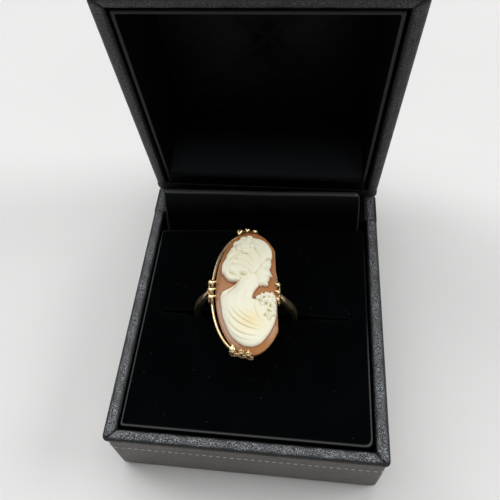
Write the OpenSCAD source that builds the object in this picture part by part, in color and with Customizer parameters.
// A gold ring with a carved shell cameo, standing in the pad of its open ring box.
// Millimetres. The origin is the middle of the box's underside, X to the right, Y to the back, Z up.
// The lid's pieces are drawn closed and then turned open about the hinge.

/* [Box] */
// Width of the box, side to side
box_w = 50; // [47:0.5:58]
// Depth of the box, front to back
box_d = 57.3; // [55:0.1:66]
// Height of the lower case from its underside to the lip
wall_h = 15.8; // [14:0.1:22]
// Thickness of the padded lip above the wall
lip_h = 0.9; // [0.6:0.1:1.6]
// How far the lip stands out over the wall
lip_out = 0.35; // [0.1:0.05:0.6]
// Width of the lip at the two sides
lip_side = 2.45; // [2:0.05:3]
// Width of the lip at the front
lip_front = 2.2; // [1.8:0.05:2.8]
// Width of the strip at the back that covers the hinge
hinge_strip = 6.35; // [5.6:0.05:6.5]
// Thickness of the lower case's floor
floor_t = 2; // [1.5:0.1:3]
// Radius of the case's upright and lower edges
case_r = 1.1; // [0.8:0.1:1.6]

/* [Lid] */
// Outer height of the lid
lid_h = 22; // [20:0.1:30]
// Thickness of the lid's top panel
lid_top_t = 1.45; // [1.2:0.05:3]
// Radius of the lid's top edges
lid_r = 1.9; // [1:0.1:2.1]
// Angle that the lid stands open, from closed
open_angle = 79.4; // [70:0.1:95]
// Gap between the two lips when the box is shut
lip_gap = 0.2; // [0.1:0.05:0.5]
// Thickness of the satin lining and its card
lining_t = 0.6; // [0.4:0.05:0.7]
// How far the lining's edge lies inside the lip's plane
lining_inset = 0.25; // [0.15:0.05:0.6]
// How much farther back the lining's hinge wall lies at the lid's top, which leaves the flap its room
lining_draft = 1.35; // [1.2:0.05:2]

/* [Pad] */
// Height of the pad's top above the lip's lower line
pad_rise = 1; // [0.8:0.05:1]
// Gap between the pad and the lips beside it
pad_gap = 0.65; // [0.3:0.05:1]
// Distance from the box's back face to the pad's back edge, at mid-width
pad_back = 10.45; // [10.2:0.05:12]
// Turn of the pad's back edge, which isn't cut square
pad_skew = 3.3; // [0:0.1:3.6]
// Radius of the pad's front corners
pad_r = 1.2; // [0.6:0.1:2]
// Length of the slot that holds the ring
slot_l = 36.5; // [28:0.5:38]

/* [Flap] */
// Height of the flap above the pad, at its middle
flap_h = 9.9; // [7:0.1:10.5]
// Lean of the flap towards the hinge
flap_lean = 13.5; // [8:0.5:13.5]
// Thickness of the flap
flap_t = 1; // [0.7:0.05:1]
// How much narrower each side of the flap is at the pad's top than the pad, and at its own top
flap_side = 0.45; // [0.3:0.05:1]
flap_taper = 1.3; // [1:0.1:3]
// How much higher the flap is at its left end than in the middle
flap_slope = 0.6; // [0:0.1:1]
// Radius of the flap's top corners
flap_r = 1.4; // [0.8:0.1:2.5]

/* [Ring] */
// Inside diameter of the shank, for a finger
finger_d = 18.2; // [16:0.1:19.5]
// Thickness of the shank
shank_t = 1.1; // [0.8:0.05:1.4]
// Width of the shank below the shoulders
shank_w = 1.6; // [1.2:0.05:2.4]
// Width of the shank where it meets the setting
shoulder_w = 0.8; // [0.6:0.05:1.2]
// Sideways place of the ring from the middle of the box
ring_x = -1.7; // [-3:0.1:3]
// Place of the shank and the slot from the middle of the box, towards the back
ring_y = -2.65; // [-4:0.05:1]
// Turn of the shank and the slot about the upright
ring_turn = 1; // [0:0.1:4]

/* [Setting] */
// Sideways place of the rail's middle from the shank's
setting_x = 0.1; // [-0.4:0.05:0.4]
// Place of the rail's middle from the shank's, towards the back
setting_y = 0.75; // [0:0.05:1]
// Turn of the setting on the shank, which it isn't square to
setting_turn = 3.6; // [0:0.1:5]
// Half the width of the oval rail
rail_half_w = 6.05; // [5.6:0.05:6.6]
// Half the length of the oval rail
rail_half_l = 12.5; // [11.5:0.05:13]
// Radius of the rail's wire
rail_r = 0.28; // [0.25:0.01:0.4]
// Height of the rail above the middle of the finger hole
rail_h = 8.35; // [8:0.05:9.2]
// Radius of a claw
claw_r = 0.29; // [0.22:0.01:0.36]
// Distance between the claws of one cluster
claw_pitch = 1.4; // [1:0.05:1.8]
// How far a claw's post stands outside the rail at least
claw_out = 0.45; // [0.2:0.05:0.6]
// How far a claw reaches over the cameo's edge
claw_lap = 0.45; // [0.3:0.05:0.8]

/* [Cameo] */
// Half the width of the shell oval before its right side was cut flat
cameo_half_w = 6.45; // [5.8:0.05:6.8]
// Half the length of the shell oval
cameo_half_l = 12.9; // [11.5:0.05:13.5]
// Distance from the oval's middle to the flat right side
cameo_cut = 4.9; // [4.4:0.05:5.4]
// Thickness of the shell at its edge
cameo_edge = 1.15; // [0.8:0.05:1.6]
// Rise of the ground from the edge to the middle
cameo_rise = 0.9; // [0.4:0.05:1.4]
// Height of the highest relief above the ground
relief_h = 1.45; // [0.8:0.05:1.8]
// Sideways place of the cameo from the rail's middle
cameo_x = 1.1; // [0.6:0.05:1.4]
// Lengthways place of the cameo from the rail's middle
cameo_y = -0.44; // [-1.3:0.02:0]
// Turn of the cameo in its setting
cameo_turn = 0.8; // [0:0.1:5]

/* [Clearances] */
// Gap between pieces that sit beside each other
fit_gap = 0.15; // [0.1:0.01:0.25]
// Gap between the pad and the shank in its slot
slot_gap = 0.15; // [0.1:0.01:0.3]

/* [Hidden] */
$fn = 48;

// Levels and places that follow from the sizes above
case_top = wall_h + lip_h;
hinge_y = box_d / 2;
hinge_z = case_top + lip_gap / 2;
pad_top = wall_h + pad_rise;
pad_bottom = floor_t + fit_gap;
pad_half_w = box_w / 2 - lip_side - pad_gap;
pad_front_y = -box_d / 2 + lip_front + pad_gap;
pad_back_y = box_d / 2 - pad_back;
lid_rim_z = case_top + lip_gap;
lid_top_z = lid_rim_z + lid_h;
cavity_w = box_w - 2 * lip_side;
cavity_front_y = -box_d / 2 + lip_front;
strip_y = box_d / 2 - hinge_strip;
ring_z = pad_top;
shank_r = finger_d / 2 + shank_t;
past = 1;

// Sections in the swept shank and rail, sides of their wires, and facets of a claw
shank_steps = 40;
shoulder_steps = 5;
wire_sides = 10;
rail_steps = 62;
claw_fn = 8;

// Rows and columns of the carved face
carve_rows = 84;
carve_cols = 40;

leatherette = [0.13, 0.13, 0.14];
velvet = [0.05, 0.05, 0.07];
satin = [0.09, 0.09, 0.11];
gold = [0.83, 0.62, 0.36];
shell = [0.93, 0.88, 0.76];

// Flat shape with round corners
module round_rectangle(w, d, r) {
    square([w - 2 * r, d], center = true);
    square([w, d - 2 * r], center = true);
    for (x = [-1, 1], y = [-1, 1]) {
        translate([x * (w / 2 - r), y * (d / 2 - r)]) circle(r);
    }
}

// Upright block with round upright edges, and round edges below
module soft_block(w, d, h, r) {
    translate([0, 0, r]) linear_extrude(h - r) round_rectangle(w, d, r);
    translate([0, 0, r / 2]) cube([w - 2 * r, d - 2 * r, r], center = true);
    for (y = [-1, 1]) {
        translate([0, y * (d / 2 - r), r]) rotate([0, 90, 0]) cylinder(w - 2 * r, r, r, center = true);
    }
    for (x = [-1, 1]) {
        translate([x * (w / 2 - r), 0, r]) rotate([90, 0, 0]) cylinder(d - 2 * r, r, r, center = true);
        for (y = [-1, 1]) {
            translate([x * (w / 2 - r), y * (d / 2 - r), r]) sphere(r);
        }
    }
}

// Turns what is drawn closed to the lid's open place
module opened() {
    translate([0, hinge_y, hinge_z]) rotate([-open_angle, 0, 0])
        translate([0, -hinge_y, -hinge_z]) children();
}

// The hollow of a case, from the front lip to the hinge strip
module case_hollow(z0, z1) {
    translate([-cavity_w / 2, cavity_front_y, z0]) cube([cavity_w, strip_y - cavity_front_y, z1 - z0]);
}

// Lower case: walls, floor and the lip that stands out over them
module base_case() {
    color(leatherette) difference() {
        union() {
            soft_block(box_w - 2 * lip_out, box_d - 2 * lip_out, wall_h + lip_h / 2, case_r);
            translate([0, 0, wall_h]) linear_extrude(lip_h) round_rectangle(box_w, box_d, case_r);
        }
        case_hollow(floor_t, case_top + past);
    }
}

// Lid: the same lip, walls and a top panel with round edges
module lid_case() {
    color(leatherette) opened() difference() {
        union() {
            translate([0, 0, lid_rim_z]) linear_extrude(lip_h) round_rectangle(box_w, box_d, case_r);
            translate([0, 0, lid_top_z]) mirror([0, 0, 1])
                soft_block(box_w - 2 * lip_out, box_d - 2 * lip_out, lid_h - lip_h / 2, lid_r);
        }
        translate([-cavity_w / 2, cavity_front_y, lid_rim_z - past])
            cube([cavity_w, box_d - lip_front - lip_side, lid_h - lid_top_t + past]);
    }
}

// Satin lining: a tray inside the lid, with the band behind which the hinge is hidden. The hollow's
// hinge wall starts at the hinge strip's edge and falls back towards the lid's top.
module lid_lining() {
    out_w = cavity_w - 2 * fit_gap;
    front_y = cavity_front_y + fit_gap;
    back_y = box_d / 2 - lip_side - fit_gap;
    top_z = lid_top_z - lid_top_t - fit_gap;
    low_z = lid_rim_z + lining_inset;
    color(satin) opened() difference() {
        translate([-out_w / 2, front_y, low_z]) cube([out_w, back_y - front_y, top_z - low_z]);
        translate([-out_w / 2 + lining_t, 0, 0]) rotate([90, 0, 90])
            linear_extrude(out_w - 2 * lining_t) polygon([
                [front_y + lining_t, low_z - past],
                [strip_y, low_z - past],
                [strip_y, low_z],
                [strip_y + lining_draft, top_z - lining_t],
                [front_y + lining_t, top_z - lining_t]
            ]);
    }
}

// Velvet pad with its slot; the back edge is skewed
module ring_pad() {
    slot_w = shank_w + 2 * slot_gap;
    slot_bottom = ring_z - shank_r - slot_gap;
    full_d = box_d - lip_front - pad_gap - hinge_strip - fit_gap;
    color(velvet) difference() {
        translate([0, pad_front_y + full_d / 2, pad_bottom]) linear_extrude(pad_top - pad_bottom)
            round_rectangle(2 * pad_half_w, full_d, pad_r);
        translate([0, pad_back_y, 0]) rotate([0, 0, pad_skew])
            translate([-box_w, 0, -past]) cube([2 * box_w, box_d, pad_top + 2 * past]);
        translate([ring_x, ring_y, slot_bottom]) rotate([0, 0, ring_turn])
            translate([-slot_l / 2 - ring_x, -slot_w / 2, 0]) cube([slot_l, slot_w, pad_top]);
    }
}

// Front view of the flap above the pad: narrower at the top, higher at its left end
module flap_outline() {
    low = pad_half_w - flap_side;
    high = pad_half_w - flap_taper;
    zl = flap_h + flap_slope;
    zr = flap_h - flap_slope;
    polygon([
        [-low, 0],
        [low, 0],
        [high, zr - flap_r],
        [high - flap_r, zr],
        [-high + flap_r, zl],
        [-high, zl - flap_r]
    ]);
    translate([high - flap_r, zr - flap_r]) circle(flap_r);
    translate([-high + flap_r, zl - flap_r]) circle(flap_r);
}

// Velvet flap: a foot behind the pad, and the leaning part above it
module hinge_flap() {
    color(velvet) translate([0, pad_back_y + fit_gap, 0]) rotate([0, 0, pad_skew]) {
        translate([-pad_half_w, 0, pad_bottom]) cube([2 * pad_half_w, flap_t, pad_top - pad_bottom]);
        translate([0, 0, pad_top]) rotate([90 - flap_lean, 0, 0]) mirror([0, 0, 1])
            linear_extrude(flap_t) flap_outline();
    }
}

// Places something in the shank's frame: the middle of the finger hole, the finger along Y
module in_ring() {
    translate([ring_x, ring_y, ring_z]) rotate([0, 0, ring_turn]) children();
}

// Places something in the setting's frame: over the finger hole, the rail's length along Y
module in_setting() {
    in_ring() translate([setting_x, setting_y, 0]) rotate([0, 0, setting_turn]) children();
}

// A point of the rail's oval, and the way straight out from it
function rail_point(f) = [rail_half_w * cos(f), rail_half_l * sin(f)];
function unit(v) = v / norm(v);
function rail_out(f) = unit([rail_half_l * cos(f), rail_half_w * sin(f)]);

// A vector turned by an angle
function turned(v, t) = [v[0] * cos(t) - v[1] * sin(t), v[0] * sin(t) + v[1] * cos(t)];

// How far the cameo's edge lies from p along the unit vector n: the oval or the flat side, what comes first
function edge_reach(p, n) =
    let (q = turned(p - [cameo_x, cameo_y], -cameo_turn),
         m = turned(n, -cameo_turn),
         qa = pow(m[0] / cameo_half_w, 2) + pow(m[1] / cameo_half_l, 2),
         qb = q[0] * m[0] / pow(cameo_half_w, 2) + q[1] * m[1] / pow(cameo_half_l, 2),
         qc = pow(q[0] / cameo_half_w, 2) + pow(q[1] / cameo_half_l, 2) - 1,
         oval = (-qb + sqrt(max(0, qb * qb - qa * qc))) / qa)
    m[0] > 0.05 ? min(oval, (cameo_cut - q[0]) / m[0]) : oval;

// Swept wire: rings of points, joined row by row; closed loops join the last row to the first
module swept(rows, closed) {
    n = len(rows);
    k = len(rows[0]);
    points = [for (row = rows, p = row) p];
    turns = closed ? n : n - 1;
    sides = [for (i = [0 : turns - 1], j = [0 : k - 1])
        let (a = i * k, b = ((i + 1) % n) * k, j2 = (j + 1) % k)
        [a + j, a + j2, b + j2, b + j]];
    caps = closed ? [] : [[for (j = [k - 1 : -1 : 0]) j], [for (j = [0 : k - 1]) (n - 1) * k + j]];
    polyhedron(points, concat(sides, caps), convexity = 6);
}

// Angle up the circle where the straight shoulder leaves it towards the setting
mid_r = shank_r - shank_t / 2;
top_point = [rail_half_w + claw_out / 2, rail_h];
shoulder_angle = atan2(top_point[1], top_point[0]) - acos(mid_r / norm(top_point));

// Stations of the shank, right shoulder to left: place, outward way, width and thickness
function arc_station(f) = [[mid_r * cos(f), mid_r * sin(f)], [cos(f), sin(f)], shank_w];
function right_station(s) =
    let (foot = mid_r * [cos(shoulder_angle), sin(shoulder_angle)])
    [foot + s * (top_point - foot), [cos(shoulder_angle), sin(shoulder_angle)],
        shank_w + s * (shoulder_w - shank_w)];
function flipped(st) = [[-st[0][0], st[0][1]], [-st[1][0], st[1][1]], st[2]];
shank_stations = concat(
    [for (i = [shoulder_steps : -1 : 1]) right_station(i / shoulder_steps)],
    [for (i = [0 : shank_steps])
        arc_station(shoulder_angle - i * (180 + 2 * shoulder_angle) / shank_steps)],
    [for (i = [1 : shoulder_steps]) flipped(right_station(i / shoulder_steps))]);

// One section of the shank: a rounded bar, flat inside and crowned outside
function shank_section(st) = [for (j = [0 : wire_sides - 1])
    let (t = 360 * j / wire_sides,
         along = sign(cos(t)) * pow(abs(cos(t)), 0.6) * shank_t / 2,
         across = sign(sin(t)) * pow(abs(sin(t)), 0.6) * st[2] / 2)
    [st[0][0] + along * st[1][0], across, st[0][1] + along * st[1][1]]];

// One section of the rail's wire
function rail_section(f) = [for (j = [0 : wire_sides - 1])
    let (t = 360 * j / wire_sides, p = rail_point(f) + rail_r * cos(t) * rail_out(f))
    [p[0], p[1], rail_h + rail_r * sin(t)]];

// Middle of each claw cluster on the rail: back, left, front and right. The shank's plane cuts the rail
// at the left and right ones.
back_cluster = 85;
front_cluster = 267.5;
side_shift = rail_half_w * sin(setting_turn);
left_cluster = 180 + asin((setting_y - side_shift) / (rail_half_l * cos(setting_turn)));
right_cluster = -asin((setting_y + side_shift) / (rail_half_l * cos(setting_turn)));
clusters = [back_cluster, left_cluster, front_cluster, right_cluster];

// Rail angle of claw i of the three in a cluster
function claw_angle(f, i) =
    f + i * claw_pitch / norm([rail_half_w * sin(f), rail_half_l * cos(f)]) * 180 / PI;

// Distance from the rail to a claw's post: outside the rail and the cameo's edge, whichever is farther. The
// three claws of a cluster all point along n, which is straight out from the rail at the cluster's middle.
function post_out(f, n) = max(claw_out, edge_reach(rail_point(f), n) + claw_r + fit_gap);

// Level of the cameo's back in the ring's frame
cameo_z = rail_h + rail_r + fit_gap / 2;

// Radius of a claw's tip
tip_r = claw_r * 0.7;

// Height of the cameo's face under the inner end of a claw's tip
function face_under(f, n) =
    let (inner = rail_point(f) + (edge_reach(rail_point(f), n) - claw_lap - tip_r) * n)
    max([for (side = [-1 : 1])
        carved(turned(inner + side * tip_r * [-n[1], n[0]] - [cameo_x, cameo_y], -cameo_turn))]);

// Level of a claw's bend in the ring's frame
function claw_high(f, n) = cameo_z + face_under(f, n) + fit_gap / 2 + claw_r;

// A ball at distance d from the rail at angle f
module claw_ball(f, n, d, z, r) {
    p = rail_point(f) + d * n;
    translate([p[0], p[1], z]) sphere(r, $fn = claw_fn);
}

// One claw: a foot on the rail, a post, and a tapered finger over the cameo's edge
module claw(f, n) {
    out = post_out(f, n);
    tip = edge_reach(rail_point(f), n) - claw_lap;
    high = claw_high(f, n);
    hull() {
        claw_ball(f, n, 0, rail_h, claw_r * 0.9);
        claw_ball(f, n, out, rail_h, claw_r);
    }
    hull() {
        claw_ball(f, n, out, rail_h, claw_r);
        claw_ball(f, n, out, high - claw_r / 3, claw_r);
    }
    hull() {
        claw_ball(f, n, out, high - claw_r / 3, claw_r);
        claw_ball(f, n, tip, high + claw_r / 4, tip_r);
    }
}

// The low wall that joins two neighbouring claws
module claw_bridge(f1, f2, n) {
    hull() for (f = [f1, f2], z = [rail_h, rail_h + 2 * claw_r])
        claw_ball(f, n, post_out(f, n), z, claw_r * 0.8);
}

// Gold mount: shank, rail and four clusters of three claws, soldered together
module ring_mount() {
    color(gold) union() {
        in_ring() swept([for (st = shank_stations) shank_section(st)], false);
        in_setting() {
            swept([for (i = [0 : rail_steps - 1]) rail_section(360 * i / rail_steps)], true);
            for (f = clusters) {
                for (i = [-1 : 1]) claw(claw_angle(f, i), rail_out(f));
                for (i = [-1, 0]) claw_bridge(claw_angle(f, i), claw_angle(f, i + 1), rail_out(f));
            }
        }
    }
}

// Raised forms of the carving, as shares: middle x and y, half-widths along and across their own axis
// (x and along count in half-widths of the oval, y and across in half-lengths), turn, and height
// as a share of the highest relief.
forms = [
    // name, x, y, along, across, turn, height
    ["bust", -0.09, -0.46, 0.71, 0.37, 2.5, 0.70],
    ["bust_end", 0.05, -0.62, 0.50, 0.29, 2.5, 0.68],
    ["shoulder", -0.47, -0.28, 0.35, 0.23, 2.5, 0.64],
    ["shoulder_top", -0.62, -0.19, 0.22, 0.11, 2.5, 0.58],
    ["breast", 0.29, -0.44, 0.44, 0.27, 2.5, 0.74],
    ["collar", -0.59, -0.05, 0.29, 0.04, 30.5, 0.35],
    ["neck", -0.03, -0.02, 0.61, 0.13, 64.5, 0.70],
    ["nape", -0.28, -0.11, 0.58, 0.10, 42.5, 0.62],
    ["head", 0.22, 0.29, 0.38, 0.30, -9.5, 0.80],
    ["jaw", 0.31, 0.10, 0.21, 0.10, -9.5, 0.78],
    ["forehead", 0.43, 0.38, 0.20, 0.10, -9.5, 0.78],
    ["brow", 0.47, 0.29, 0.13, 0.08, -9.5, 0.76],
    ["nose", 0.55, 0.17, 0.07, 0.06, 5.5, 0.62],
    ["mouth", 0.48, 0.08, 0.07, 0.04, -9.5, 0.62],
    ["chin", 0.43, 0.00, 0.09, 0.04, -9.5, 0.66],
    ["crown", 0.02, 0.66, 0.45, 0.19, 2.5, 0.92],
    ["front_hair", 0.36, 0.56, 0.27, 0.14, 2.5, 0.92],
    ["back_roll", -0.45, 0.53, 0.24, 0.12, 2.5, 0.88],
    ["side_lock", -0.16, 0.42, 0.45, 0.12, 17.5, 0.94],
    ["ear_lock", 0.09, 0.39, 0.26, 0.12, 2.5, 0.90],
    ["bun", -0.40, 0.30, 0.36, 0.13, -5.5, 0.90],
    ["bun_end", -0.33, 0.21, 0.31, 0.08, -7.5, 0.80],
    ["bouquet", 0.50, -0.29, 0.27, 0.14, 22.5, 0.76]
];
// Columns of a form
form_x = 1;
form_y = 2;
form_along = 3;
form_across = 4;
form_turn = 5;
form_height = 6;

// Height of one form at a point: a steep-sided dome over an oval
function dome(p, f) =
    let (q = turned(p - [f[form_x] * cameo_half_w, f[form_y] * cameo_half_l], -f[form_turn]),
         along = q[0] / (f[form_along] * cameo_half_w),
         across = q[1] / (f[form_across] * cameo_half_l),
         share = 1 - along * along - across * across)
    share > 0 ? f[form_height] * pow(share, 0.4) : 0;

// Blossoms: five round petals about a middle, in the hair and in the bouquet. Places and heights are shares
// as above, and a petal's radius is a share of the oval's half-width.
blossoms = [
    // x, y, petal's radius, height
    [-0.20, 0.67, 0.12, 1.00],
    [-0.48, 0.55, 0.09, 0.95],
    [0.36, -0.23, 0.10, 0.88],
    [0.58, -0.26, 0.11, 0.90],
    [0.45, -0.38, 0.10, 0.86]
];
// Columns of a blossom
blossom_x = 0;
blossom_y = 1;
petal_r = 2;
blossom_height = 3;
petal_count = 5;
petal_start = 18;

// Height of one petal at a point, and of the highest petal of a blossom
function petal(p, c, r, h) =
    let (d = norm(p - c) / r)
    d < 1 ? h * pow(1 - d * d, 0.3) : 0;
function blossom(p, b) =
    let (r = b[petal_r] * cameo_half_w, middle = [b[blossom_x] * cameo_half_w, b[blossom_y] * cameo_half_l])
    max([for (k = [0 : petal_count - 1])
        let (t = petal_start + k * 360 / petal_count)
        petal(p, middle + r * [cos(t), sin(t)], r, b[blossom_height])]);

// Folds of the dress: ridges along circles round a point at the upper right, over the lower bust
fold_middle = [0.43, -0.14];
fold_count = 3;
fold_first = 0.38;
fold_step = 0.112;
fold_height = 0.11;
fold_width = 0.054;
fold_heading = -134;
fold_spread = 45;
function folds(p) =
    let (c = [fold_middle[0] * cameo_half_w, fold_middle[1] * cameo_half_l],
         d = norm(p - c) / cameo_half_l,
         a = atan2(p[1] - c[1], p[0] - c[0]),
         off = a > 0 ? a - 360 - fold_heading : a - fold_heading,
         fade = max(0, 1 - pow(off / fold_spread, 2)))
    fade * fold_height * max([for (k = [0 : fold_count - 1])
        max(0, 1 - pow((d - fold_first - k * fold_step) / fold_width, 2))]);

// Whole relief above the ground
function relief(p) =
    let (body = max([for (f = forms) dome(p, f)]), flowers = max([for (b = blossoms) blossom(p, b)]))
    relief_h * (max(body, flowers) + (body > 0.2 ? folds(p) : 0));

// Ground of the plate: the edge's thickness, and a rise towards the middle
function ground(p) =
    cameo_edge + cameo_rise * max(0, 1 - pow(p[0] / cameo_half_w, 2) - pow(p[1] / cameo_half_l, 2));

// The relief dies out within this distance of the plate's edge
relief_margin = 0.25;

function row_y(j) = -cameo_half_l * cos(180 * j / carve_rows);
function row_left(y) = -cameo_half_w * sqrt(max(0, 1 - pow(y / cameo_half_l, 2)));
function row_right(y) = min(-row_left(y), cameo_cut);
function carved(p) =
    let (room = min(p[0] - row_left(p[1]), row_right(p[1]) - p[0]) / relief_margin)
    ground(p) + max(0, min(1, room)) * relief(p);
function carve_point(i, j) =
    let (y = row_y(j), l = row_left(y), x = l + (row_right(y) - l) * i / carve_cols)
    [x, y, carved([x, y])];

// Carved shell: a domed plate with its relief, flat behind
module cameo() {
    row_n = carve_cols + 1;
    inner = carve_rows - 1;
    top = [for (j = [1 : inner], i = [0 : carve_cols]) carve_point(i, j)];
    low_left = [for (j = [1 : inner]) [row_left(row_y(j)), row_y(j), 0]];
    low_right = [for (j = [1 : inner]) [row_right(row_y(j)), row_y(j), 0]];
    poles = [for (z = [cameo_edge, 0], side = [-1, 1]) [0, side * cameo_half_l, z]];
    left0 = inner * row_n;
    right0 = left0 + inner;
    pole0 = right0 + inner;
    function at(i, j) = (j - 1) * row_n + i;
    face_quads = [for (j = [1 : inner - 1], i = [0 : carve_cols - 1])
        [at(i, j), at(i, j + 1), at(i + 1, j + 1), at(i + 1, j)]];
    back_quads = [for (j = [0 : inner - 2]) [left0 + j, right0 + j, right0 + j + 1, left0 + j + 1]];
    left_quads = [for (j = [0 : inner - 2]) [left0 + j, left0 + j + 1, at(0, j + 2), at(0, j + 1)]];
    right_quads = [for (j = [0 : inner - 2])
        [right0 + j + 1, right0 + j, at(carve_cols, j + 1), at(carve_cols, j + 2)]];
    near_fan = [for (i = [0 : carve_cols - 1]) [pole0, at(i, 1), at(i + 1, 1)]];
    far_fan = [for (i = [0 : carve_cols - 1]) [pole0 + 1, at(i + 1, inner), at(i, inner)]];
    ends = [
        [pole0 + 2, right0, left0],
        [pole0 + 3, left0 + inner - 1, right0 + inner - 1],
        [pole0 + 2, left0, at(0, 1), pole0],
        [pole0, at(carve_cols, 1), right0, pole0 + 2],
        [pole0 + 3, pole0 + 1, at(0, inner), left0 + inner - 1],
        [pole0 + 1, pole0 + 3, right0 + inner - 1, at(carve_cols, inner)]
    ];
    color(shell) in_setting() translate([cameo_x, cameo_y, cameo_z]) rotate([0, 0, cameo_turn])
        polyhedron(concat(top, low_left, low_right, poles),
            concat(face_quads, back_quads, left_quads, right_quads, near_fan, far_fan, ends),
            convexity = 8);
}

base_case();
ring_pad();
hinge_flap();
ring_mount();
cameo();
lid_case();
lid_lining();
